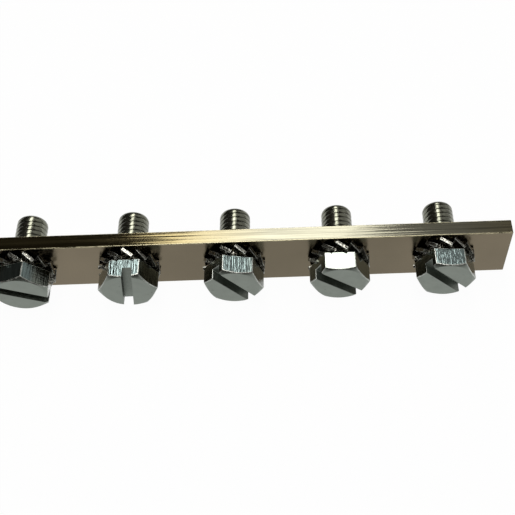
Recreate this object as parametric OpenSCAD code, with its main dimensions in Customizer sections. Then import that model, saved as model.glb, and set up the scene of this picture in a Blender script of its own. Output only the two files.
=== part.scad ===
// Earth terminal bar: a plated flat bar with a row of tapped holes, a slotted hexagon-head
// terminal screw in each, and an external-tooth fan lock washer under each head.
//
// Frame: X along the bar, Y through its thickness, Z up. The bar stands on one long edge with
// that edge's centre at the origin. Screw heads face -Y and the thread ends stand out at +Y.
// All sizes are in millimetres.

/* [Bar] */
// Width of the bar, from long edge to long edge
bar_w = 12.5; // [12.5:0.5:30]
// Thickness of the bar
bar_t = 3; // [2:0.5:6]
// Distance from an end screw to the end of the bar
end_margin = 12.5; // [7:0.5:30]
// Distance between screws
screw_pitch = 20; // [14:0.5:40]
// Broken edge along every long arris
arris = 0.15; // [0.05:0.05:0.4]
// Countersink depth at both mouths of each tapped hole
mouth_bevel = 0.3; // [0.1:0.05:0.6]

/* [Terminal screws] */
// Outside diameter of the screw thread
thread_d = 6; // [4:0.5:8]
// Distance between neighbouring thread crests
thread_pitch = 1; // [0.5:0.25:1.5]
// Least length left unthreaded under the head
neck_l = 0.75; // [0.5:0.25:3]
// Length of the shank below the head
shank_l = 13; // [10:0.5:30]
// Diameter of the flat at the thread's free end
tip_d = 4.9; // [3:0.1:6]
// Length of the bevel at the thread's free end
tip_l = 0.65; // [0.3:0.05:1.5]
// Head size across its flats
head_af = 9.9; // [9:0.1:13]
// Head height
head_h = 3.9; // [3:0.1:6]
// Diameter of the flat end face inside the head's bevel
face_d = 9.6; // [8:0.1:12]
// Angle of the head's bevel to its end face
bevel_angle = 30; // [15:1:40]
// Width of the driver slot
slot_w = 1.9; // [1:0.1:2.5]
// Depth of the driver slot
slot_depth = 2; // [1:0.1:2.5]

/* [Lock washers] */
// Diameter over the tooth tips
washer_d = 11.7; // [10.5:0.1:14]
// Thickness of the washer's sheet
washer_t = 0.7; // [0.4:0.05:1]
// Width of the flat ring that carries the teeth
ring_w = 1.15; // [0.8:0.05:1.5]
// Number of teeth
tooth_count = 13; // [8:1:18]
// Slit between neighbouring teeth
tooth_slit = 0.25; // [0.1:0.05:0.6]
// Twist of each tooth from its root to its tip
tooth_twist = 37; // [20:1:50]

/* [Fits] */
// Radial clearance of the screws in their tapped holes
hole_clearance = 0.05; // [0.02:0.01:0.1]
// Radial clearance of the washers round the screws
washer_clearance = 0.2; // [0.1:0.05:0.4]

/* [Hidden] */

// Where each screw came to rest when it was tightened, counted from +X towards +Z:
// its hexagon's first corner and its driver slot.
hexagon_turn = [17.4, -1.2, -12.3, -1.2, -4.9];
slot_turn = [154.7, 83.1, 127.5, 140.2, 133.3];
// The same for each washer's top tooth, counted from +Z towards +X.
washer_turn = [-7, 5, 16, 5, -1];

screw_count = len(slot_turn);
bar_l = (screw_count - 1) * screw_pitch + 2 * end_margin;
screw_z = bar_w / 2;
front_y = -bar_t / 2;

// Teeth spread evenly round the tip circle, and narrow with the circle towards the ring.
function tooth_w(r) = 2 * PI * r / tooth_count - tooth_slit;
tip_r = washer_d / 2;
ring_bore_r = thread_d / 2 + washer_clearance;
ring_r = ring_bore_r + ring_w;
// A tooth starts inside the ring's rim, where it is still flat.
tooth_overlap = 0.3;
tooth_root_r = ring_r - tooth_overlap;
tooth_slices = 7;
// A twisted tooth bears on the bar with one tip corner and on the head with the other.
washer_h = tooth_w(tip_r) * sin(tooth_twist) + washer_t * cos(tooth_twist);

// Metric thread form with 60 degree flanks, in shares of its pitch.
thread_crest = thread_pitch / 8;
thread_depth = 17 / 24 * cos(30) * thread_pitch;
thread_flank = thread_depth * tan(30);
thread_count = floor((shank_l - tip_l - neck_l) / thread_pitch);

slack = 1;
$fn = 96;

function screw_x(i) = (i - (screw_count + 1) / 2) * screw_pitch;

// Turns a piece drawn up local Z to face -Y on screw i's axis, with local Y upwards.
// Local Z counts from the bar's front face.
module at_screw(i) {
    translate([screw_x(i), front_y, screw_z]) rotate([90, 0, 0]) children();
}

// The bar's section has its four arrises broken, and is drawn the length of the bar.
module bar_stock() {
    section = [
        [arris, 0], [bar_t - arris, 0], [bar_t, arris], [bar_t, bar_w - arris],
        [bar_t - arris, bar_w], [arris, bar_w], [0, bar_w - arris], [0, arris],
    ];
    translate([-bar_l / 2, front_y, 0]) rotate([90, 0, 90])
        linear_extrude(height = bar_l) polygon(section);
}

// Clearance of one tapped hole, countersunk at both faces of the bar.
module tapped_hole() {
    hole_r = thread_d / 2 + hole_clearance;
    translate([0, 0, -bar_t - slack]) cylinder(r = hole_r, h = bar_t + 2 * slack);
    translate([0, 0, -mouth_bevel])
        cylinder(r1 = hole_r, r2 = hole_r + mouth_bevel + slack, h = mouth_bevel + slack);
    translate([0, 0, -bar_t - slack])
        cylinder(r1 = hole_r + mouth_bevel + slack, r2 = hole_r, h = mouth_bevel + slack);
}

module earth_bar() {
    color("#8c867a") difference() {
        bar_stock();
        for (i = [1 : screw_count]) at_screw(i) tapped_hole();
    }
}

// Hexagon with a turned bevel round its end face, cut across by the driver slot.
module screw_head(hexagon, slot) {
    difference() {
        intersection() {
            rotate([0, 0, hexagon]) cylinder(d = head_af / cos(30), h = head_h, $fn = 6);
            cylinder(d1 = face_d + 2 * head_h / tan(bevel_angle), d2 = face_d, h = head_h);
        }
        rotate([0, 0, slot]) translate([-head_af, -slot_w / 2, head_h - slot_depth])
            cube([2 * head_af, slot_w, slot_depth + slack]);
    }
}

// The thread is drawn as one ring to each pitch, from the bevelled end up to the plain neck.
module screw_shank() {
    crest_r = thread_d / 2;
    root_r = crest_r - thread_depth;
    thread_start = tip_l - shank_l;
    grooves = [for (k = [0 : thread_count - 1])
        let (z = thread_start + k * thread_pitch)
        each [[crest_r, z], [crest_r, z + thread_crest], [root_r, z + thread_crest + thread_flank],
            [root_r, z + thread_pitch - thread_flank]]];
    neck_start = thread_start + thread_count * thread_pitch;
    rotate_extrude() polygon(concat(
        [[0, 0], [0, -shank_l], [tip_d / 2, -shank_l]], grooves, [[crest_r, neck_start], [crest_r, 0]]));
}

module terminal_screw(i) {
    color("#868c88") at_screw(i) translate([0, 0, washer_h]) {
        screw_head(hexagon_turn[i - 1], slot_turn[i - 1]);
        screw_shank();
    }
}

// Corners of a tooth's section at fraction s of its length: flat at the root, and turned
// most of the way to the full twist before the middle, as a pressed tooth is.
function tooth_section(s) =
    let (r = tooth_root_r + s * (tip_r - tooth_root_r), turn = tooth_twist * sin(90 * s))
    [for (corner = [[-1, -1], [1, -1], [1, 1], [-1, 1]])
        let (u = corner.x * tooth_w(r) / 2, v = corner.y * washer_t / 2)
        [u * cos(turn) - v * sin(turn), r, u * sin(turn) + v * cos(turn)]];

// One tooth, standing out along +Y, as a stack of sections joined by triangles.
module tooth() {
    points = [for (k = [0 : tooth_slices]) each tooth_section(k / tooth_slices)];
    last = 4 * tooth_slices;
    sides = [for (k = [0 : tooth_slices - 1], c = [0 : 3])
        let (a = 4 * k + c, b = 4 * k + (c + 1) % 4) each [[a, b, b + 4], [a, b + 4, a + 4]]];
    polyhedron(points, concat([[3, 2, 1, 0]], sides, [[last, last + 1, last + 2, last + 3]]));
}

// The flat ring lies half way between the bar and the head, and only the teeth touch them.
module lock_washer(i) {
    color("#4a4a46") at_screw(i) translate([0, 0, washer_h / 2]) rotate([0, 0, -washer_turn[i - 1]]) {
        difference() {
            cylinder(r = ring_r, h = washer_t, center = true);
            cylinder(r = ring_bore_r, h = washer_t + slack, center = true);
        }
        for (k = [0 : tooth_count - 1]) rotate([0, 0, k * 360 / tooth_count]) tooth();
    }
}

earth_bar();
terminal_screw(1);  // terminal_screw_1
terminal_screw(2);  // terminal_screw_2
terminal_screw(3);  // terminal_screw_3
terminal_screw(4);  // terminal_screw_4
terminal_screw(5);  // terminal_screw_5
lock_washer(1);  // lock_washer_1
lock_washer(2);  // lock_washer_2
lock_washer(3);  // lock_washer_3
lock_washer(4);  // lock_washer_4
lock_washer(5);  // lock_washer_5
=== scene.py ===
"""Earth terminal bar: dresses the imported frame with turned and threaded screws, fan lock
washers, a rolled bar, their plated finishes, and a plain studio."""

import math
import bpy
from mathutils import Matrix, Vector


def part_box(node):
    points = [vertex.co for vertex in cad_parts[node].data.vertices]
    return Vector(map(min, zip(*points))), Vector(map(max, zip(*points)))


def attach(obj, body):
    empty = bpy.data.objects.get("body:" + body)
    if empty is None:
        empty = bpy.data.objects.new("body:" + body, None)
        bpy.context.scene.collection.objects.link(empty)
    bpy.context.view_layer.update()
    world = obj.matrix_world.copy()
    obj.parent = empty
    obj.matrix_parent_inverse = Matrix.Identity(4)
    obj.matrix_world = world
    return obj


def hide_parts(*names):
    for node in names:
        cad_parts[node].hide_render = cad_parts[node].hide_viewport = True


bl_info = {
    "name": "Earth Terminal Bar",
    "version": (1, 0, 0),
    "blender": (4, 5, 0),
    "location": "3D View > Sidebar > Earth Bar",
    "description": "Plated earth terminal bar with slotted hexagon screws and fan lock washers",
    "category": "Add Mesh",
}

import bpy
from bpy.props import (
    FloatProperty,
    FloatVectorProperty,
    IntProperty,
    PointerProperty,
)
from mathutils import Matrix, Vector

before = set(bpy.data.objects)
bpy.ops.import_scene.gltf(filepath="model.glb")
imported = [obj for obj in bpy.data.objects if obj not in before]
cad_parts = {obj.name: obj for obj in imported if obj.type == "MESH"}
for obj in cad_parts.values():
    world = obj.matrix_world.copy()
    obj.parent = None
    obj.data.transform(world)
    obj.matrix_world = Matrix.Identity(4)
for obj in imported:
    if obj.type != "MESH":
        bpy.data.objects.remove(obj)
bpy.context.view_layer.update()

MM = 0.001
# Half the thread's outline, from the groove to the crest: share of the pitch, share of the depth.
THREAD_OUTLINE = ((0, 0), (0.04, 0.55), (0.1, 0.76), (0.2, 0.89), (0.32, 0.96), (0.5, 1))
# The thread starts this many pitches below the shank's free end. The odd share keeps its
# corners off the planes where the shank is cut and joined.
THREAD_LEAD = 1.5065
# How far the shank reaches into the head, and the spare radius of the blank round the thread.
SHANK_REACH = 0.4 * MM
BLANK_SPARE = 0.5 * MM
# Turn of the first shank in its head, and from each shank to the next, in radians.
SHANK_TURN, SHANK_TURN_STEP = 0.23, 1.1
# Numbers of the finishes in the screws' material list.
FACE, SIDE, SLOT, THREAD, WORN = range(5)
# Share of the size across flats beyond which a face belongs to the head's sides, and how far
# up a normal points on the end face and on a worn rim.
SIDES_FROM, END_FACING, RIM_FACING = 0.45, 0.6, 0.75
# Numbers of the finishes in the bar's material list.
WIDE_FACE, LONG_EDGE, ARRIS = range(3)
# Tolerance for telling places apart.
NEAR = 0.01 * MM
SCREWS = sorted(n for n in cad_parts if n.startswith("terminal_screw_"))
BAR_LOW, BAR_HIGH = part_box("earth_bar")
SCREW_LOW, SCREW_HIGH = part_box(SCREWS[0])
WASHER_LOW, WASHER_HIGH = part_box("lock_washer_1")
HEAD_TO_TIP = SCREW_HIGH.y - SCREW_LOW.y
WASHER_H = WASHER_HIGH.y - WASHER_LOW.y
# Where a painted highlight makes the bar's edge paler, where painted shade darkens the bar's face,
# and the smoothest head flat.
PAINTED_HIGHLIGHT_PLACE = (0.025, 0.0, BAR_HIGH.z)
PAINTED_SHADE_PLACE = (0.010, BAR_LOW.y, BAR_HIGH.z / 2)
SMOOTH_PLACE = (0.020, -0.0055, 0.0112)


def length(name, description, default, low=0.0):
    return FloatProperty(
        name=name, description=description, default=default, min=low, unit="LENGTH", precision=5
    )


def colour(name, description, default):
    return FloatVectorProperty(
        name=name, description=description, default=default, subtype="COLOR", size=3, min=0, max=1
    )


def turns(name, description, default):
    return FloatVectorProperty(
        name=name,
        description=description,
        default=[math.radians(a) for a in default],
        size=5,
        unit="ROTATION",
    )


class ScrewSizes(bpy.types.PropertyGroup):
    """Sizes of the terminal screws."""

    thread_r: length("Thread radius", "Radius over the thread's crests", 2.98 * MM)
    root_r: length("Root radius", "Radius at the thread's root", 2.82 * MM)
    pitch: length("Pitch", "Advance of the thread in one turn", 1.0 * MM)
    tip_r: length("Tip radius", "Radius of the flat at the thread's free end", 2.2 * MM)
    tip_l: length("Tip bevel", "Length of the rounding at the thread's free end", 1.0 * MM)
    head_af: length("Across flats", "Head size across its flats", 9.9 * MM)
    head_h: length("Head height", "Height of the head", 3.9 * MM)
    face_r: length("Face radius", "Radius of the end face inside the bevel", 4.8 * MM)
    bevel_angle: FloatProperty(
        name="Bevel angle",
        description="Angle of the head's bevel to its end face",
        default=math.radians(30),
        unit="ROTATION",
    )
    slot_w: length("Slot width", "Width of the driver slot", 1.9 * MM)
    slot_depth: length("Slot depth", "Depth of the driver slot", 2.0 * MM)
    edge: length("Worn edge", "Width of the worn edges of the head", 0.15 * MM)
    slot_edge: length("Slot edge", "Width of the broken edges of the slot", 0.06 * MM)
    hexagon_turn: turns(
        "Hexagon turns",
        "First corner of each head, from +X towards +Z",
        (17.4, 0.8, -12.3, -0.6, -4.9),
    )
    slot_turn: turns(
        "Slot turns", "Slot of each head, from +X towards +Z", (154.7, 83.1, 127.5, 140.2, 133.3)
    )
    slot_shift: FloatVectorProperty(
        name="Slot shifts",
        description="Distance of each slot from the middle of its head",
        default=(0, 0, 0, 0.35 * MM, 0),
        size=5,
        unit="LENGTH",
        precision=5,
    )


class WasherSizes(bpy.types.PropertyGroup):
    """Sizes of the fan lock washers."""

    tip_r: length("Tip radius", "Radius over the teeth", 5.83 * MM)
    bore_r: length("Bore radius", "Radius of the bore", 3.2 * MM)
    ring_r: length("Ring radius", "Outer radius of the flat ring", 4.35 * MM)
    sheet: length("Sheet", "Thickness of the sheet", 0.68 * MM)
    slit: length("Slit", "Gap between neighbouring teeth", 0.25 * MM)
    edge: length("Broken edge", "Width of the broken edges", 0.09 * MM)
    teeth: IntProperty(name="Teeth", description="Number of teeth", default=13, min=3)
    twist: FloatProperty(
        name="Twist",
        description="Twist of a tooth at its tip",
        default=math.radians(37),
        unit="ROTATION",
    )
    turn: turns("Washer turns", "Top tooth of each washer, from +Z towards +X", (-7, 5, 16, 5, -1))


class BarSizes(bpy.types.PropertyGroup):
    """Sizes of the flat bar."""

    arris: length("Arris", "Width of the broken long edges", 0.15 * MM)
    hole_r: length("Hole radius", "Radius of the tapped holes", 3.05 * MM)
    mouth: length("Countersink", "Depth of the countersink at the holes", 0.3 * MM)


class Finishes(bpy.types.PropertyGroup):
    """Colours of the plated finishes."""

    bar_face: colour("Bar face", "Plating on the wide faces", (0.170, 0.141, 0.095))
    bar_edge: colour("Bar edge", "Plating on the rolled long edges", (0.178, 0.162, 0.108))
    zinc: colour("Zinc", "Zinc on the heads", (0.200, 0.222, 0.195))
    thread: colour("Thread", "Zinc on the threads", (0.185, 0.188, 0.148))
    washer: colour("Washer", "Plated spring steel", (0.200, 0.196, 0.175))
    worn: colour("Worn edges", "Edges rubbed bright", (0.560, 0.580, 0.540))


# ---------------------------------------------------------------- modelling helpers


def only(obj):
    """Leaves obj alone selected and active."""
    bpy.ops.object.select_all(action="DESELECT")
    obj.select_set(True)
    bpy.context.view_layer.objects.active = obj
    return obj


def made(name):
    """Names the primitive that was just added."""
    obj = bpy.context.active_object
    obj.name = obj.data.name = name
    return only(obj)


def cylinder(name, r, z0, z1, sides, turn=0.0):
    bpy.ops.mesh.primitive_cylinder_add(
        vertices=sides, radius=r, depth=z1 - z0,
        location=(0, 0, (z0 + z1) / 2), rotation=(0, 0, turn),
    )
    obj = made(name)
    bpy.ops.object.transform_apply()
    return obj


def cone(name, r0, r1, z0, z1, sides, turn=0.0):
    bpy.ops.mesh.primitive_cone_add(
        vertices=sides, radius1=r0, radius2=r1, depth=z1 - z0,
        location=(0, 0, (z0 + z1) / 2), rotation=(0, 0, turn),
    )
    obj = made(name)
    bpy.ops.object.transform_apply()
    return obj


def block(name, low, high):
    low, high = Vector(low), Vector(high)
    bpy.ops.mesh.primitive_cube_add(size=1, location=(low + high) / 2)
    obj = made(name)
    obj.scale = high - low
    bpy.ops.object.transform_apply()
    return obj


def apply(obj, kind, **settings):
    """Adds a modifier of that kind, sets it and applies it."""
    only(obj)
    mod = obj.modifiers.new(kind.title(), kind)
    for key, value in settings.items():
        setattr(mod, key, value)
    bpy.ops.object.modifier_apply(modifier=mod.name)
    return obj


def combine(obj, other, operation):
    """Boolean of obj with other, which is used up."""
    apply(obj, "BOOLEAN", operation=operation, object=other, solver="EXACT")
    bpy.data.objects.remove(other)
    return only(obj)


def pick(obj, faces=None, edges=None, corners=None):
    """Selects the faces, edges and corners that pass their tests, and nothing else."""
    bpy.ops.object.mode_set(mode="OBJECT")
    mesh = obj.data
    for elements, test in ((mesh.vertices, corners), (mesh.edges, edges), (mesh.polygons, faces)):
        for element in elements:
            element.select = bool(test and test(element))


def in_edit(obj, *steps):
    """Runs edit-mode steps on obj."""
    only(obj)
    bpy.ops.object.mode_set(mode="EDIT")
    bpy.ops.mesh.select_mode(type="FACE")
    for step in steps:
        step()
    bpy.ops.object.mode_set(mode="OBJECT")


def tidy_mesh(obj, distance=0.002 * MM):
    only(obj)
    bpy.ops.object.mode_set(mode="EDIT")
    bpy.ops.mesh.select_all(action="SELECT")
    bpy.ops.mesh.remove_doubles(threshold=distance)
    bpy.ops.mesh.normals_make_consistent(inside=False)
    bpy.ops.object.mode_set(mode="OBJECT")
    return obj


def copy_of(obj, name):
    twin = obj.copy()
    twin.data = obj.data.copy()
    bpy.context.collection.objects.link(twin)
    twin.name = twin.data.name = name
    return only(twin)


def seat(obj, matrix):
    """Puts a piece drawn round local Z at its place, with the place in its mesh."""
    only(obj)
    obj.matrix_world = matrix
    bpy.ops.object.transform_apply()
    return obj


def wear(obj, materials):
    """Gives the object these materials in place of its own."""
    obj.data.materials.clear()
    for m in materials:
        obj.data.materials.append(m)
    return obj


def finish_faces(obj, choose):
    """Gives each face the material whose number choose(centre, normal, old number) returns."""
    for p in obj.data.polygons:
        p.material_index = choose(p.center, p.normal, p.material_index)


def crisp(obj, angle):
    """Smooth shading over edges under the angle, with the wide faces kept flat."""
    only(obj)
    bpy.ops.object.shade_smooth_by_angle(angle=angle)
    return apply(obj, "WEIGHTED_NORMAL", mode="FACE_AREA", weight=100, keep_sharp=True)


# ---------------------------------------------------------------- finishes


class Nodes:
    """Short hand for a material's node tree."""

    def __init__(self, name, colour):
        self.material = bpy.data.materials.new(name)
        self.material.use_nodes = True
        self.material.diffuse_color = (*colour, 1)
        self.tree = self.material.node_tree
        self.shader = self.tree.nodes["Principled BSDF"]
        self.coords = self.tree.nodes.new("ShaderNodeTexCoord").outputs["Object"]

    def add(self, kind, inputs=None, **settings):
        node = self.tree.nodes.new("ShaderNode" + kind)
        for key, value in settings.items():
            setattr(node, key, value)
        for key, value in (inputs or {}).items():
            if isinstance(value, bpy.types.NodeSocket):
                self.tree.links.new(value, node.inputs[key])
            else:
                node.inputs[key].default_value = value
        return node

    def noise(self, scale, stretch=(1, 1, 1), detail=3.0, rough=0.55, seed=0.0):
        """Noise with its cells stretched by the mapping's scale, so 0.05 gives long streaks."""
        offset = (seed, seed * 1.7, seed * 0.6)
        place = self.add("Mapping", {"Vector": self.coords, "Scale": stretch, "Location": offset})
        return self.add(
            "TexNoise",
            {"Vector": place.outputs[0], "Scale": scale, "Detail": detail, "Roughness": rough},
        ).outputs["Fac"]

    def span(self, value, low, high, to_low, to_high):
        return self.add(
            "MapRange",
            {
                "Value": value, "From Min": low, "From Max": high,
                "To Min": to_low, "To Max": to_high,
            },
            clamp=True,
        ).outputs[0]

    def sum(self, a, b, operation="ADD"):
        return self.add("Math", {0: a, 1: b}, operation=operation).outputs[0]

    def tones(self, value, *stops):
        ramp = self.add("ValToRGB", {"Fac": value})
        elements = ramp.color_ramp.elements
        elements[0].position, elements[0].color = stops[0][0], (*stops[0][1], 1)
        elements[1].position, elements[1].color = stops[-1][0], (*stops[-1][1], 1)
        for position, tone in stops[1:-1]:
            elements.new(position).color = (*tone, 1)
        return ramp.outputs["Color"]

    def mix(self, factor, a, b):
        node = self.add("Mix", data_type="RGBA")
        for key, value in ((0, factor), (6, a), (7, b)):
            if isinstance(value, bpy.types.NodeSocket):
                self.tree.links.new(value, node.inputs[key])
            elif key == 0:
                node.inputs[key].default_value = value
            else:
                node.inputs[key].default_value = (*value, 1)
        return node.outputs[2]

    def away(self, place, near, far):
        """0 within near of the place and 1 beyond far from it."""
        gap = self.add("VectorMath", {0: self.coords, 1: place}, operation="DISTANCE")
        return self.span(gap.outputs["Value"], near, far, 0, 1)

    def scaled(self, a, b):
        """Product of two colours."""
        node = self.add("Mix", data_type="RGBA", blend_type="MULTIPLY")
        node.inputs[0].default_value = 1
        self.tree.links.new(a, node.inputs[6])
        self.tree.links.new(b, node.inputs[7])
        return node.outputs[2]

    def leaning(self, value, lean):
        """The surface's normal, leaning along X by up to lean either way as value varies."""
        facing = self.add("NewGeometry").outputs["Normal"]
        along = self.add("CombineXYZ", {"X": self.span(value, 0.3, 0.7, -lean, lean)}).outputs[0]
        leant = self.add("VectorMath", {0: facing, 1: along}, operation="ADD").outputs[0]
        return self.add("VectorMath", {0: leant}, operation="NORMALIZE").outputs[0]

    def bump(self, *layers, normal=None):
        """Stacked bumps: each layer is (height, strength, distance)."""
        for height, strength, distance in layers:
            node = self.add("Bump", {"Height": height, "Strength": strength, "Distance": distance})
            if normal:
                self.tree.links.new(normal, node.inputs["Normal"])
            normal = node.outputs["Normal"]
        self.tree.links.new(normal, self.shader.inputs["Normal"])

    def set(self, **sockets):
        for key, value in sockets.items():
            socket = self.shader.inputs[key.replace("_", " ")]
            if isinstance(value, bpy.types.NodeSocket):
                self.tree.links.new(value, socket)
            elif key == "Base_Color":
                socket.default_value = (*value, 1)
            else:
                socket.default_value = value
        return self.material


def shade(tone, k):
    return tuple(min(1.0, c * k) for c in tone)


def bar_face_finish(tone):
    """Yellowish plating, faintly clouded, with a rolled grain along the bar, and painted shade
    darkening one stretch of the face.
    """
    n = Nodes("bar_face", tone)
    cloud = n.noise(90, detail=4)
    grain = n.noise(2600, (0.03, 1, 1), detail=2)
    plate = n.tones(cloud, (0.3, shade(tone, 0.94)), (0.7, shade(tone, 1.06)))
    # Painted shade: the front face is darkened round one place between the heads, in place of the
    # dark reflections of the heads in it.
    painted_shade = n.away(PAINTED_SHADE_PLACE, 0.012, 0.042)
    n.set(Metallic=1.0)
    n.set(Base_Color=n.scaled(plate, n.mix(painted_shade, (0.84, 0.85, 0.84), (1, 1, 1))))
    n.set(Roughness=n.span(grain, 0.3, 0.7, 0.15, 0.23))
    n.bump((grain, 0.12, 0.01 * MM))
    return n.material


def bar_edge_finish(tone):
    """Rolled edge: long streaks, golden, with a paler stretch that is a painted highlight."""
    n = Nodes("bar_edge", tone)
    streak = n.noise(5200, (0.012, 1, 1), detail=4)
    broad = n.noise(1400, (0.02, 1, 1), detail=2, seed=3.0)
    both = n.sum(streak, broad, "MULTIPLY")
    n.set(Metallic=1.0)
    gold = (tone[0], tone[1] * 0.9, tone[2] * 0.68)
    # Painted highlight: the edge turns from golden to a paler tone near one place along the bar,
    # where the strip's reflection is whitest.
    painted_highlight_tone = (tone[0], tone[1] * 1.06, tone[2] * 1.22)
    plate = n.mix(n.away(PAINTED_HIGHLIGHT_PLACE, 0.018, 0.036), painted_highlight_tone, gold)
    depth = n.tones(both, (0.12, (0.4, 0.4, 0.4)), (0.25, (0.85, 0.85, 0.85)), (0.42, (1, 1, 1)))
    n.set(Base_Color=n.scaled(plate, depth))
    n.set(Roughness=n.span(broad, 0.3, 0.7, 0.07, 0.13))
    uneven = n.noise(3200, (0.012, 1, 1), detail=3, seed=6.0)
    n.bump((streak, 0.3, 0.02 * MM), (broad, 0.25, 0.03 * MM), normal=n.leaning(uneven, 0.035))
    return n.material


def arris_finish(tone):
    """Edge of the bar, rubbed bright in places."""
    n = Nodes("bar_arris", tone)
    rub = n.noise(2600, (0.3, 1, 1), detail=4)
    n.set(Metallic=1.0)
    n.set(Base_Color=n.tones(rub, (0.3, shade(tone, 1.0)), (0.6, shade(tone, 2.8))))
    n.set(Roughness=n.span(rub, 0.3, 0.7, 0.2, 0.45))
    n.bump((rub, 0.8, 0.05 * MM))
    return n.material


def head_face_finish(tone):
    """Turned end face of a head: dull zinc with a few pits."""
    n = Nodes("head_face", tone)
    mottle = n.noise(420, detail=4)
    fine = n.noise(4200, detail=3, seed=5.0)
    pits = n.noise(1700, detail=2, seed=9.0)
    zinc = n.tones(mottle, (0.3, shade(tone, 0.90)), (0.7, shade(tone, 1.10)))
    n.set(Metallic=1.0)
    n.set(Base_Color=n.mix(n.span(pits, 0.27, 0.33, 0.45, 0), zinc, shade(tone, 0.4)))
    n.set(Roughness=n.span(mottle, 0.3, 0.7, 0.30, 0.40))
    n.bump((fine, 0.18, 0.01 * MM))
    return n.material


def head_side_finish(tone):
    """Drawn flats of a head, scored along and across, with a painted bluish reflection on the
    upward flats. One flat is smooth.
    """
    n = Nodes("head_side", tone)
    drawn = n.noise(4600, (1, 0.06, 1), detail=2)
    cross = n.noise(3800, (0.2, 1, 0.2), detail=2, seed=2.0)
    scored = n.away(SMOOTH_PLACE, 0.004, 0.008)
    # Painted reflection: flats higher than 10.0 to 10.8 mm, which face up, are tinted bluish.
    height = n.add("SeparateXYZ", {0: n.coords}).outputs["Z"]
    painted_sky_reflection = n.span(height, 0.0100, 0.0108, 0, 1)
    plate = n.tones(drawn, (0.35, shade(tone, 0.75)), (0.6, shade(tone, 1.25)))
    plate = n.scaled(plate, n.mix(painted_sky_reflection, (1, 1, 1), (0.88, 1.0, 1.12)))
    n.set(Metallic=1.0)
    n.set(Base_Color=n.mix(scored, shade(tone, 1.3), plate))
    n.set(Roughness=n.span(cross, 0.3, 0.7, 0.07, 0.13))
    n.bump(
        (drawn, n.span(scored, 0, 1, 0.02, 1), 0.06 * MM),
        (cross, n.span(scored, 0, 1, 0.02, 0.7), 0.05 * MM),
    )
    return n.material


def worn_finish(name, tone):
    """Plating rubbed bright on an edge."""
    n = Nodes(name, tone)
    rub = n.noise(2400, detail=3)
    n.set(Metallic=1.0)
    n.set(Base_Color=n.tones(rub, (0.35, shade(tone, 0.5)), (0.6, tone)))
    n.set(Roughness=n.span(rub, 0.3, 0.7, 0.30, 0.50))
    n.bump((rub, 0.8, 0.05 * MM))
    return n.material


def slot_finish(tone):
    """Sawn slot, duller than the head."""
    n = Nodes("head_slot", tone)
    sawn = n.noise(2600, (1, 0.3, 1), detail=3)
    n.set(Metallic=1.0)
    n.set(Base_Color=n.tones(sawn, (0.3, shade(tone, 0.8)), (0.7, shade(tone, 1.2))))
    n.set(Roughness=n.span(sawn, 0.3, 0.7, 0.42, 0.56))
    n.bump((sawn, 0.4, 0.02 * MM))
    return n.material


def thread_finish(tone):
    """Rolled thread: smooth zinc with some grime."""
    n = Nodes("thread_zinc", tone)
    grime = n.noise(900, detail=3)
    fine = n.noise(5200, (1, 0.3, 1), detail=2, seed=1.0)
    n.set(Metallic=1.0)
    n.set(Base_Color=n.tones(grime, (0.3, shade(tone, 0.7)), (0.7, shade(tone, 1.2))))
    n.set(Roughness=n.span(fine, 0.3, 0.7, 0.14, 0.26))
    n.bump((fine, 0.25, 0.01 * MM))
    return n.material


def washer_finish(tone):
    """Blank spring steel of the washers, uneven and partly dark."""
    n = Nodes("washer_steel", tone)
    grime = n.noise(1300, detail=4)
    fine = n.noise(2600, detail=1, seed=4.0)
    n.set(Metallic=1.0)
    n.set(Base_Color=n.tones(grime, (0.35, shade(tone, 0.7)), (0.6, shade(tone, 2.2))))
    n.set(Roughness=n.span(fine, 0.3, 0.7, 0.14, 0.34))
    n.bump((fine, 1.0, 0.08 * MM))
    return n.material


# ---------------------------------------------------------------- pieces


def screw_step():
    """Distance between screws, from the boxes of two washers that are turned alike."""
    a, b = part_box("lock_washer_2"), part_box("lock_washer_4")
    return ((b[0].x + b[1].x) - (a[0].x + a[1].x)) / 4


SCREW_STEP = screw_step()


def screw_place(node):
    """Matrix that turns a piece drawn up local Z to face -Y on the screw's axis. Local Z
    counts from the underside of the head."""
    head_h = bpy.context.scene.terminal_screws.head_h
    axis_x, axis_z = (BAR_LOW.x + BAR_HIGH.x) / 2, (BAR_LOW.z + BAR_HIGH.z) / 2
    x = axis_x + (int(node[-1]) - (len(SCREWS) + 1) / 2) * SCREW_STEP
    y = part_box(node)[0].y + head_h
    return Matrix.Translation((x, y, axis_z)) @ Matrix.Rotation(math.pi / 2, 4, "X")


def thread_outline(s):
    """Radius and share of the pitch at the corners of one turn, from groove to groove."""
    half = [(s.root_r + (s.thread_r - s.root_r) * rise, share) for share, rise in THREAD_OUTLINE]
    return half + [(r, 1 - share) for r, share in reversed(half[:-1])]


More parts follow.
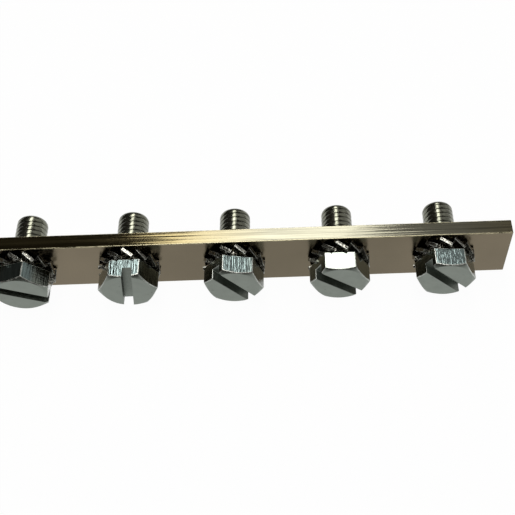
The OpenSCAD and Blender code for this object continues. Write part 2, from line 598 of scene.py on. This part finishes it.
def helical_thread(s, shank_l):
    """Thread cut flat below the shank's free end and a little way inside the head."""
    bpy.ops.mesh.primitive_plane_add(size=0.1 * MM, location=(0, 0, 0))
    obj = made("thread")
    bpy.ops.object.mode_set(mode="EDIT")
    bpy.ops.mesh.select_mode(type="VERT")
    bpy.ops.mesh.select_all(action="SELECT")
    bpy.ops.mesh.merge(type="CENTER")
    outline = thread_outline(s)
    start = -shank_l - THREAD_LEAD * s.pitch
    bpy.ops.transform.translate(value=(outline[0][0], 0, start))
    for (r0, z0), (r1, z1) in zip(outline, outline[1:]):
        bpy.ops.mesh.extrude_region_move(
            TRANSFORM_OT_translate={"value": (r1 - r0, 0, (z1 - z0) * s.pitch)}
        )
    bpy.ops.object.mode_set(mode="OBJECT")
    apply(
        obj, "SCREW", angle=2 * math.pi, screw_offset=s.pitch,
        iterations=math.ceil(shank_l / s.pitch) + 4, steps=48, render_steps=48,
        use_merge_vertices=True, merge_threshold=0.001 * MM,
    )
    only(obj)
    bpy.ops.object.mode_set(mode="EDIT")
    bpy.ops.mesh.select_all(action="SELECT")
    bpy.ops.mesh.remove_doubles(threshold=0.004 * MM)
    bpy.ops.mesh.bisect(
        plane_co=(0, 0, -shank_l - SHANK_REACH), plane_no=(0, 0, 1),
        use_fill=True, clear_inner=True, threshold=0.0001 * MM,
    )
    bpy.ops.mesh.select_all(action="SELECT")
    bpy.ops.mesh.bisect(
        plane_co=(0, 0, SHANK_REACH), plane_no=(0, 0, 1),
        use_fill=True, clear_outer=True, threshold=0.0001 * MM,
    )
    bpy.ops.mesh.select_all(action="SELECT")
    bpy.ops.mesh.normals_make_consistent(inside=False)
    bpy.ops.object.mode_set(mode="OBJECT")
    return obj


def rounded_blank(s, shank_l):
    """Cylinder round the thread, drawn in at the free end to a rounded tip."""
    blank_r = s.thread_r + BLANK_SPARE
    blank = cylinder("blank", blank_r, -shank_l + s.tip_l, 2 * SHANK_REACH, 96)
    pick(blank, faces=lambda face: face.normal.z < -0.9)

    def draw_in(depth, narrow):
        bpy.ops.mesh.extrude_region_move(TRANSFORM_OT_translate={"value": (0, 0, -depth)})
        bpy.ops.transform.resize(value=(narrow, narrow, 1))

    def draw_tip(steps=4):
        draw_in(0, s.thread_r / blank_r)
        r = s.thread_r
        for step in range(1, steps + 1):
            angle = math.pi / 2 * step / steps
            depth = s.tip_l * (math.sin(angle) - math.sin(angle - math.pi / 2 / steps))
            next_r = s.tip_r + (s.thread_r - s.tip_r) * math.cos(angle)
            draw_in(depth, next_r / r)
            r = next_r

    in_edit(blank, draw_tip)
    return blank


def threaded_shank(s, shank_l):
    """Shank with a helical thread and a rounded tip."""
    thread = helical_thread(s, shank_l)
    return combine(thread, rounded_blank(s, shank_l), "INTERSECT")


def screw_faces(s, k):
    """Says which finish each face of screw k gets while it is drawn round local Z."""
    along = Vector((math.cos(s.slot_turn[k]), math.sin(s.slot_turn[k]), 0))

    def choose(centre, normal, old):
        radius = math.hypot(centre.x, centre.y)
        if centre.z < 0 or radius < s.thread_r and centre.z < NEAR:
            return THREAD
        on_sides = radius > SIDES_FROM * s.head_af
        if old == WORN and on_sides and normal.z < RIM_FACING:
            return WORN
        across = centre.y * along.x - centre.x * along.y - s.slot_shift[k]
        below_face = centre.z < s.head_h - 0.3 * s.slot_edge
        if not on_sides and abs(across) < s.slot_w / 2 + NEAR and below_face:
            return SLOT
        return FACE if normal.z > END_FACING else SIDE

    return choose


def screw_head(s, k, finishes):
    """Hexagon cut back by a turned bevel and crossed by the driver slot, with worn edges."""
    turn = s.hexagon_turn[k] + math.pi / 2
    head = cylinder("head", s.head_af / math.sqrt(3), 0, s.head_h, 6, turn)
    wear(head, finishes)
    rise = s.head_h / math.tan(s.bevel_angle)
    dome = cone("dome", s.face_r + rise + rise / 4, s.face_r, -s.head_h / 4, s.head_h, 96, turn)
    combine(head, dome, "INTERSECT")
    low = Vector((-s.head_af, s.slot_shift[k] - s.slot_w / 2, s.head_h - s.slot_depth))
    high = Vector((s.head_af, s.slot_shift[k] + s.slot_w / 2, 2 * s.head_h))
    cutter = seat(block("slot", low, high), Matrix.Rotation(s.slot_turn[k], 4, "Z"))
    tidy_mesh(head, 0.02 * MM)
    apply(
        head, "BEVEL", width=s.edge, segments=2, limit_method="ANGLE", angle_limit=math.radians(35),
        use_clamp_overlap=True, material=WORN,
    )
    tidy_mesh(head)
    combine(head, cutter, "DIFFERENCE")
    tidy_mesh(head)
    apply(
        head, "BEVEL", width=s.slot_edge, segments=1, limit_method="ANGLE",
        angle_limit=math.radians(70), use_clamp_overlap=True, material=WORN,
    )
    return head


class EARTHBAR_OT_screws(bpy.types.Operator):
    """Model the slotted hexagon screws with their threads"""

    bl_idname = "earthbar.screws"
    bl_label = "Terminal Screws"

    def execute(self, context):
        s = context.scene.terminal_screws
        f = context.scene.earth_finishes
        shank_l = HEAD_TO_TIP - s.head_h
        shank = threaded_shank(s, shank_l)
        finishes = [
            head_face_finish(f.zinc), head_side_finish(f.zinc), slot_finish(f.zinc),
            thread_finish(f.thread), worn_finish("head_worn_edge", f.worn),
        ]
        wear(shank, finishes)
        for k, node in enumerate(SCREWS):
            screw = screw_head(s, k, finishes)
            screw.name = screw.data.name = "slotted_screw_%d" % (k + 1)
            own = copy_of(shank, "own_shank")
            seat(own, Matrix.Rotation(SHANK_TURN_STEP * k + SHANK_TURN, 4, "Z"))
            combine(screw, own, "UNION")
            finish_faces(screw, screw_faces(s, k))
            seat(screw, screw_place(node))
            crisp(screw, math.radians(28))
            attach(screw, "screw_%d" % (k + 1))
            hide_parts(node)
        bpy.data.objects.remove(shank)
        return {"FINISHED"}


def fan_tooth(w, finishes):
    """One tooth along +Y, flat inside the ring and twisted to its tip."""
    root_r = w.ring_r - 0.35 * MM
    tip_w = 2 * math.pi * w.tip_r / w.teeth - w.slit
    root_w = 2 * math.pi * root_r / w.teeth - w.slit
    tooth = block("tooth", (-tip_w / 2, root_r, -w.sheet / 2), (tip_w / 2, w.tip_r, w.sheet / 2))
    wear(tooth, finishes)
    steps = 10

    def slice_across():
        for k in range(1, steps):
            bpy.ops.mesh.select_all(action="SELECT")
            y = root_r + (w.tip_r - root_r) * k / steps
            bpy.ops.mesh.bisect(plane_co=(0, y, 0), plane_no=(0, 1, 0))

    in_edit(tooth, slice_across)
    bpy.ops.object.mode_set(mode="EDIT")
    bpy.ops.mesh.select_mode(type="VERT")
    for k in range(steps + 1):
        y = root_r + (w.tip_r - root_r) * k / steps
        pick(tooth, corners=lambda corner: abs(corner.co.y - y) < NEAR)
        bpy.ops.object.mode_set(mode="EDIT")
        fraction = k / steps
        narrow = (root_w + (tip_w - root_w) * fraction) / tip_w
        bpy.ops.transform.resize(value=(narrow, 1, 1), center_override=(0, y, 0))
        turn = w.twist * math.sin(math.pi / 2 * fraction)
        bpy.ops.transform.rotate(value=turn, orient_axis="Y", center_override=(0, y, 0))
    bpy.ops.object.mode_set(mode="OBJECT")
    apply(
        tooth, "BEVEL", width=w.edge, segments=2, limit_method="ANGLE",
        angle_limit=math.radians(50), use_clamp_overlap=True, material=1,
    )
    return tooth


class EARTHBAR_OT_washers(bpy.types.Operator):
    """Model the fan lock washers with their twisted teeth"""

    bl_idname = "earthbar.washers"
    bl_label = "Lock Washers"

    def execute(self, context):
        w = context.scene.lock_washers
        ring = cylinder("ring", w.ring_r, -w.sheet / 2, w.sheet / 2, 78)
        bore = cylinder("bore", w.bore_r, -w.sheet, w.sheet, 72)
        combine(ring, bore, "DIFFERENCE")
        f = context.scene.earth_finishes
        finishes = [washer_finish(f.washer), worn_finish("washer_worn_edge", f.worn)]
        wear(ring, finishes)
        tooth = fan_tooth(w, finishes)
        for k in range(w.teeth):
            twin = copy_of(tooth, "tooth_copy")
            seat(twin, Matrix.Rotation(2 * math.pi * k / w.teeth, 4, "Z"))
            combine(ring, twin, "UNION")
        bpy.data.objects.remove(tooth)
        for k, node in enumerate(SCREWS):
            washer = copy_of(ring, "fan_washer_%d" % (k + 1))
            place = screw_place(node) @ Matrix.Translation((0, 0, -WASHER_H / 2))
            seat(washer, place @ Matrix.Rotation(-w.turn[k], 4, "Z"))
            crisp(washer, math.radians(35))
            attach(washer, "washer_%d" % (k + 1))
            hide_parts("lock_washer_%d" % (k + 1))
        bpy.data.objects.remove(ring)
        return {"FINISHED"}


def hole_cutter(b):
    """The space of one tapped hole through the bar, with its countersinks, round local Z."""
    half = (BAR_HIGH.y - BAR_LOW.y) / 2
    cutter = cylinder("hole", b.hole_r, b.mouth - half, half - b.mouth, 96)
    flare = (b.hole_r + 2 * b.mouth) / b.hole_r
    for side in (1, -1):
        pick(cutter, faces=lambda face: face.normal.z * side > 0.9)
        away = {"value": (0, 0, side * 2 * b.mouth)}
        in_edit(
            cutter,
            lambda: bpy.ops.mesh.extrude_region_move(TRANSFORM_OT_translate=away),
            lambda: bpy.ops.transform.resize(value=(flare, flare, 1), center_override=(0, 0, 0)),
        )
    return cutter


def bar_faces(b):
    """Says which finish each face of the bar gets."""

    def choose(centre, normal, old):
        if abs(normal.y) > 0.98:
            return WIDE_FACE
        near_arris = centre.z < BAR_LOW.z + 2 * b.arris or centre.z > BAR_HIGH.z - 2 * b.arris
        if abs(normal.x) < 0.1 and abs(normal.z) < 0.98 and near_arris:
            return ARRIS
        return LONG_EDGE

    return choose


class EARTHBAR_OT_bar(bpy.types.Operator):
    """Model the flat bar with its broken arrises and holes"""

    bl_idname = "earthbar.bar"
    bl_label = "Flat Bar"

    def execute(self, context):
        b = context.scene.earth_bar
        f = context.scene.earth_finishes
        bar = block("flat_bar", BAR_LOW, BAR_HIGH)
        corners = bar.data.vertices

        def runs_along(edge):
            a, c = (corners[i].co for i in edge.vertices)
            return abs(a.x - c.x) > 1 * MM

        pick(bar, edges=runs_along)
        bpy.ops.object.mode_set(mode="EDIT")
        bpy.ops.mesh.select_mode(type="EDGE")
        bpy.ops.mesh.bevel(offset=b.arris, segments=3, profile=0.5)
        bpy.ops.object.mode_set(mode="OBJECT")
        for node in SCREWS:
            centre = screw_place(node).translation
            middle = Matrix.Translation((centre.x, 0, centre.z))
            place = middle @ Matrix.Rotation(math.pi / 2, 4, "X")
            combine(bar, seat(hole_cutter(b), place), "DIFFERENCE")
        tidy_mesh(bar)
        wear(bar, [
            bar_face_finish(f.bar_face), bar_edge_finish(f.bar_edge), arris_finish(f.bar_edge),
        ])
        finish_faces(bar, bar_faces(b))
        crisp(bar, math.radians(25))
        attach(bar, "bar")
        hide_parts("earth_bar")
        return {"FINISHED"}


# ---------------------------------------------------------------- stage


class StageSettings(bpy.types.PropertyGroup):
    """Camera, room and floor."""

    camera_place: FloatVectorProperty(
        name="Camera",
        description="Place of the camera",
        default=(0.013292, -0.100905, 0.150887),
        unit="LENGTH",
    )
    camera_turn: FloatVectorProperty(
        name="Camera turn",
        description="Directions of the camera's right and up, one after the other",
        default=(0.99941, -0.02893, -0.01873, 0.03445, 0.82281, 0.56727),
        size=6,
    )
    lens: FloatProperty(name="Lens", description="Focal length on a 36 mm sensor", default=64.03)
    shift_x: FloatProperty(name="Shift", description="Sideways shift of the view", default=-0.0914)
    world: colour("World", "Colour of the room round the object", (0.05, 0.047, 0.042))
    floor: colour("Floor", "Colour of the floor", (0.90, 0.90, 0.90))


def lamp(name, place, size, radiance, tone=(1, 1, 1), down=False):
    """Rectangular softbox at place, facing the bar or straight down, as bright all over as
    radiance says."""
    bpy.ops.object.light_add(type="AREA", location=place)
    obj = bpy.context.active_object
    obj.name = obj.data.name = name
    obj.data.shape = "RECTANGLE"
    obj.data.size, obj.data.size_y = size
    obj.data.energy = 4 * radiance * size[0] * size[1]
    obj.data.color = tone
    obj.visible_camera = False
    if not down:
        obj.rotation_mode = "QUATERNION"
        obj.rotation_quaternion = (-Vector(place)).to_track_quat("-Z", "Y")
    return obj


class EARTHBAR_OT_stage(bpy.types.Operator):
    """Set the floor, the lamps and the camera"""

    bl_idname = "earthbar.stage"
    bl_label = "Stage"

    def execute(self, context):
        g = context.scene.earth_stage
        bpy.ops.mesh.primitive_plane_add(size=6, location=(0, 0, BAR_LOW.z - 0.02 * MM))
        floor = made("floor")
        bpy.ops.object.transform_apply()
        n = Nodes("floor_paint", g.floor)
        n.set(Base_Color=tuple(g.floor), Roughness=0.9)
        path = n.add("LightPath")
        seen = n.sum(path.outputs["Is Camera Ray"], path.outputs["Is Glossy Ray"], "MAXIMUM")
        seen = n.sum(seen, path.outputs["Is Transmission Ray"], "MAXIMUM")
        glow = n.add("Emission", {"Color": (1, 1, 1, 1), "Strength": 1.0})
        blend = n.add("MixShader", {"Fac": n.sum(seen, 0.97, "MULTIPLY")})
        out = n.tree.nodes["Material Output"]
        n.tree.links.new(n.shader.outputs[0], blend.inputs[1])
        n.tree.links.new(glow.outputs[0], blend.inputs[2])
        n.tree.links.new(blend.outputs[0], out.inputs["Surface"])
        floor.data.materials.append(n.material)

        world = bpy.data.worlds.new("room")
        context.scene.world = world
        world.use_nodes = True
        world.node_tree.nodes["Background"].inputs["Color"].default_value = (*g.world, 1)

        # The strip over the bar makes the bright reflection in its edge, the spill lifts the
        # edge beyond it, and the panel lights the sides of the heads.
        lamp(
            "ceiling_strip", place=(-0.027, 0.5, 1.0), size=(0.304, 1.8), radiance=5.2,
            tone=(1.0, 0.99, 0.96), down=True,
        )
        lamp(
            "strip_spill", place=(0.235, 0.5, 1.0), size=(0.22, 1.6), radiance=0.40,
            tone=(1.0, 0.99, 0.95), down=True,
        )
        lamp(
            "side_panel", place=(1.15, 0.65, 0.75), size=(1.5, 1.5), radiance=0.4,
            tone=(1.0, 1.0, 0.98),
        )

        bpy.ops.object.camera_add()
        cam = context.active_object
        cam.name = cam.data.name = "camera"
        right, up = Vector(g.camera_turn[:3]).normalized(), Vector(g.camera_turn[3:]).normalized()
        back = right.cross(up).normalized()
        up = back.cross(right)
        turn = Matrix((right, up, back)).transposed()
        cam.matrix_world = Matrix.Translation(g.camera_place) @ turn.to_4x4()
        cam.data.sensor_width = 36
        cam.data.lens = g.lens
        cam.data.shift_x = g.shift_x
        cam.data.clip_start, cam.data.clip_end = 0.005, 20
        context.scene.camera = cam
        context.scene.view_settings.view_transform = "Standard"
        return {"FINISHED"}


class EARTHBAR_PT_panel(bpy.types.Panel):
    """Sizes, finishes and operators of the earth terminal bar"""

    bl_idname = "EARTHBAR_PT_panel"
    bl_label = "Earth Terminal Bar"
    bl_space_type = "VIEW_3D"
    bl_region_type = "UI"
    bl_category = "Earth Bar"

    def draw(self, context):
        for group in PROPERTY_GROUPS:
            box = self.layout.box()
            settings = getattr(context.scene, group)
            for key in settings.__annotations__:
                box.prop(settings, key)
        for operator in OPERATORS:
            self.layout.operator(operator.bl_idname)


PROPERTY_GROUPS = {
    "earth_bar": BarSizes,
    "terminal_screws": ScrewSizes,
    "lock_washers": WasherSizes,
    "earth_finishes": Finishes,
    "earth_stage": StageSettings,
}
OPERATORS = (EARTHBAR_OT_stage, EARTHBAR_OT_bar, EARTHBAR_OT_screws, EARTHBAR_OT_washers)


def register():
    for cls in (*PROPERTY_GROUPS.values(), *OPERATORS, EARTHBAR_PT_panel):
        bpy.utils.register_class(cls)
    for name, cls in PROPERTY_GROUPS.items():
        setattr(bpy.types.Scene, name, PointerProperty(type=cls))


def unregister():
    for name in PROPERTY_GROUPS:
        delattr(bpy.types.Scene, name)
    for cls in (EARTHBAR_PT_panel, *reversed(OPERATORS), *reversed(PROPERTY_GROUPS.values())):
        bpy.utils.unregister_class(cls)


def main():
    register()
    bpy.ops.earthbar.stage()
    bpy.ops.earthbar.bar()
    bpy.ops.earthbar.screws()
    bpy.ops.earthbar.washers()


if __name__ == "__main__":
    main()
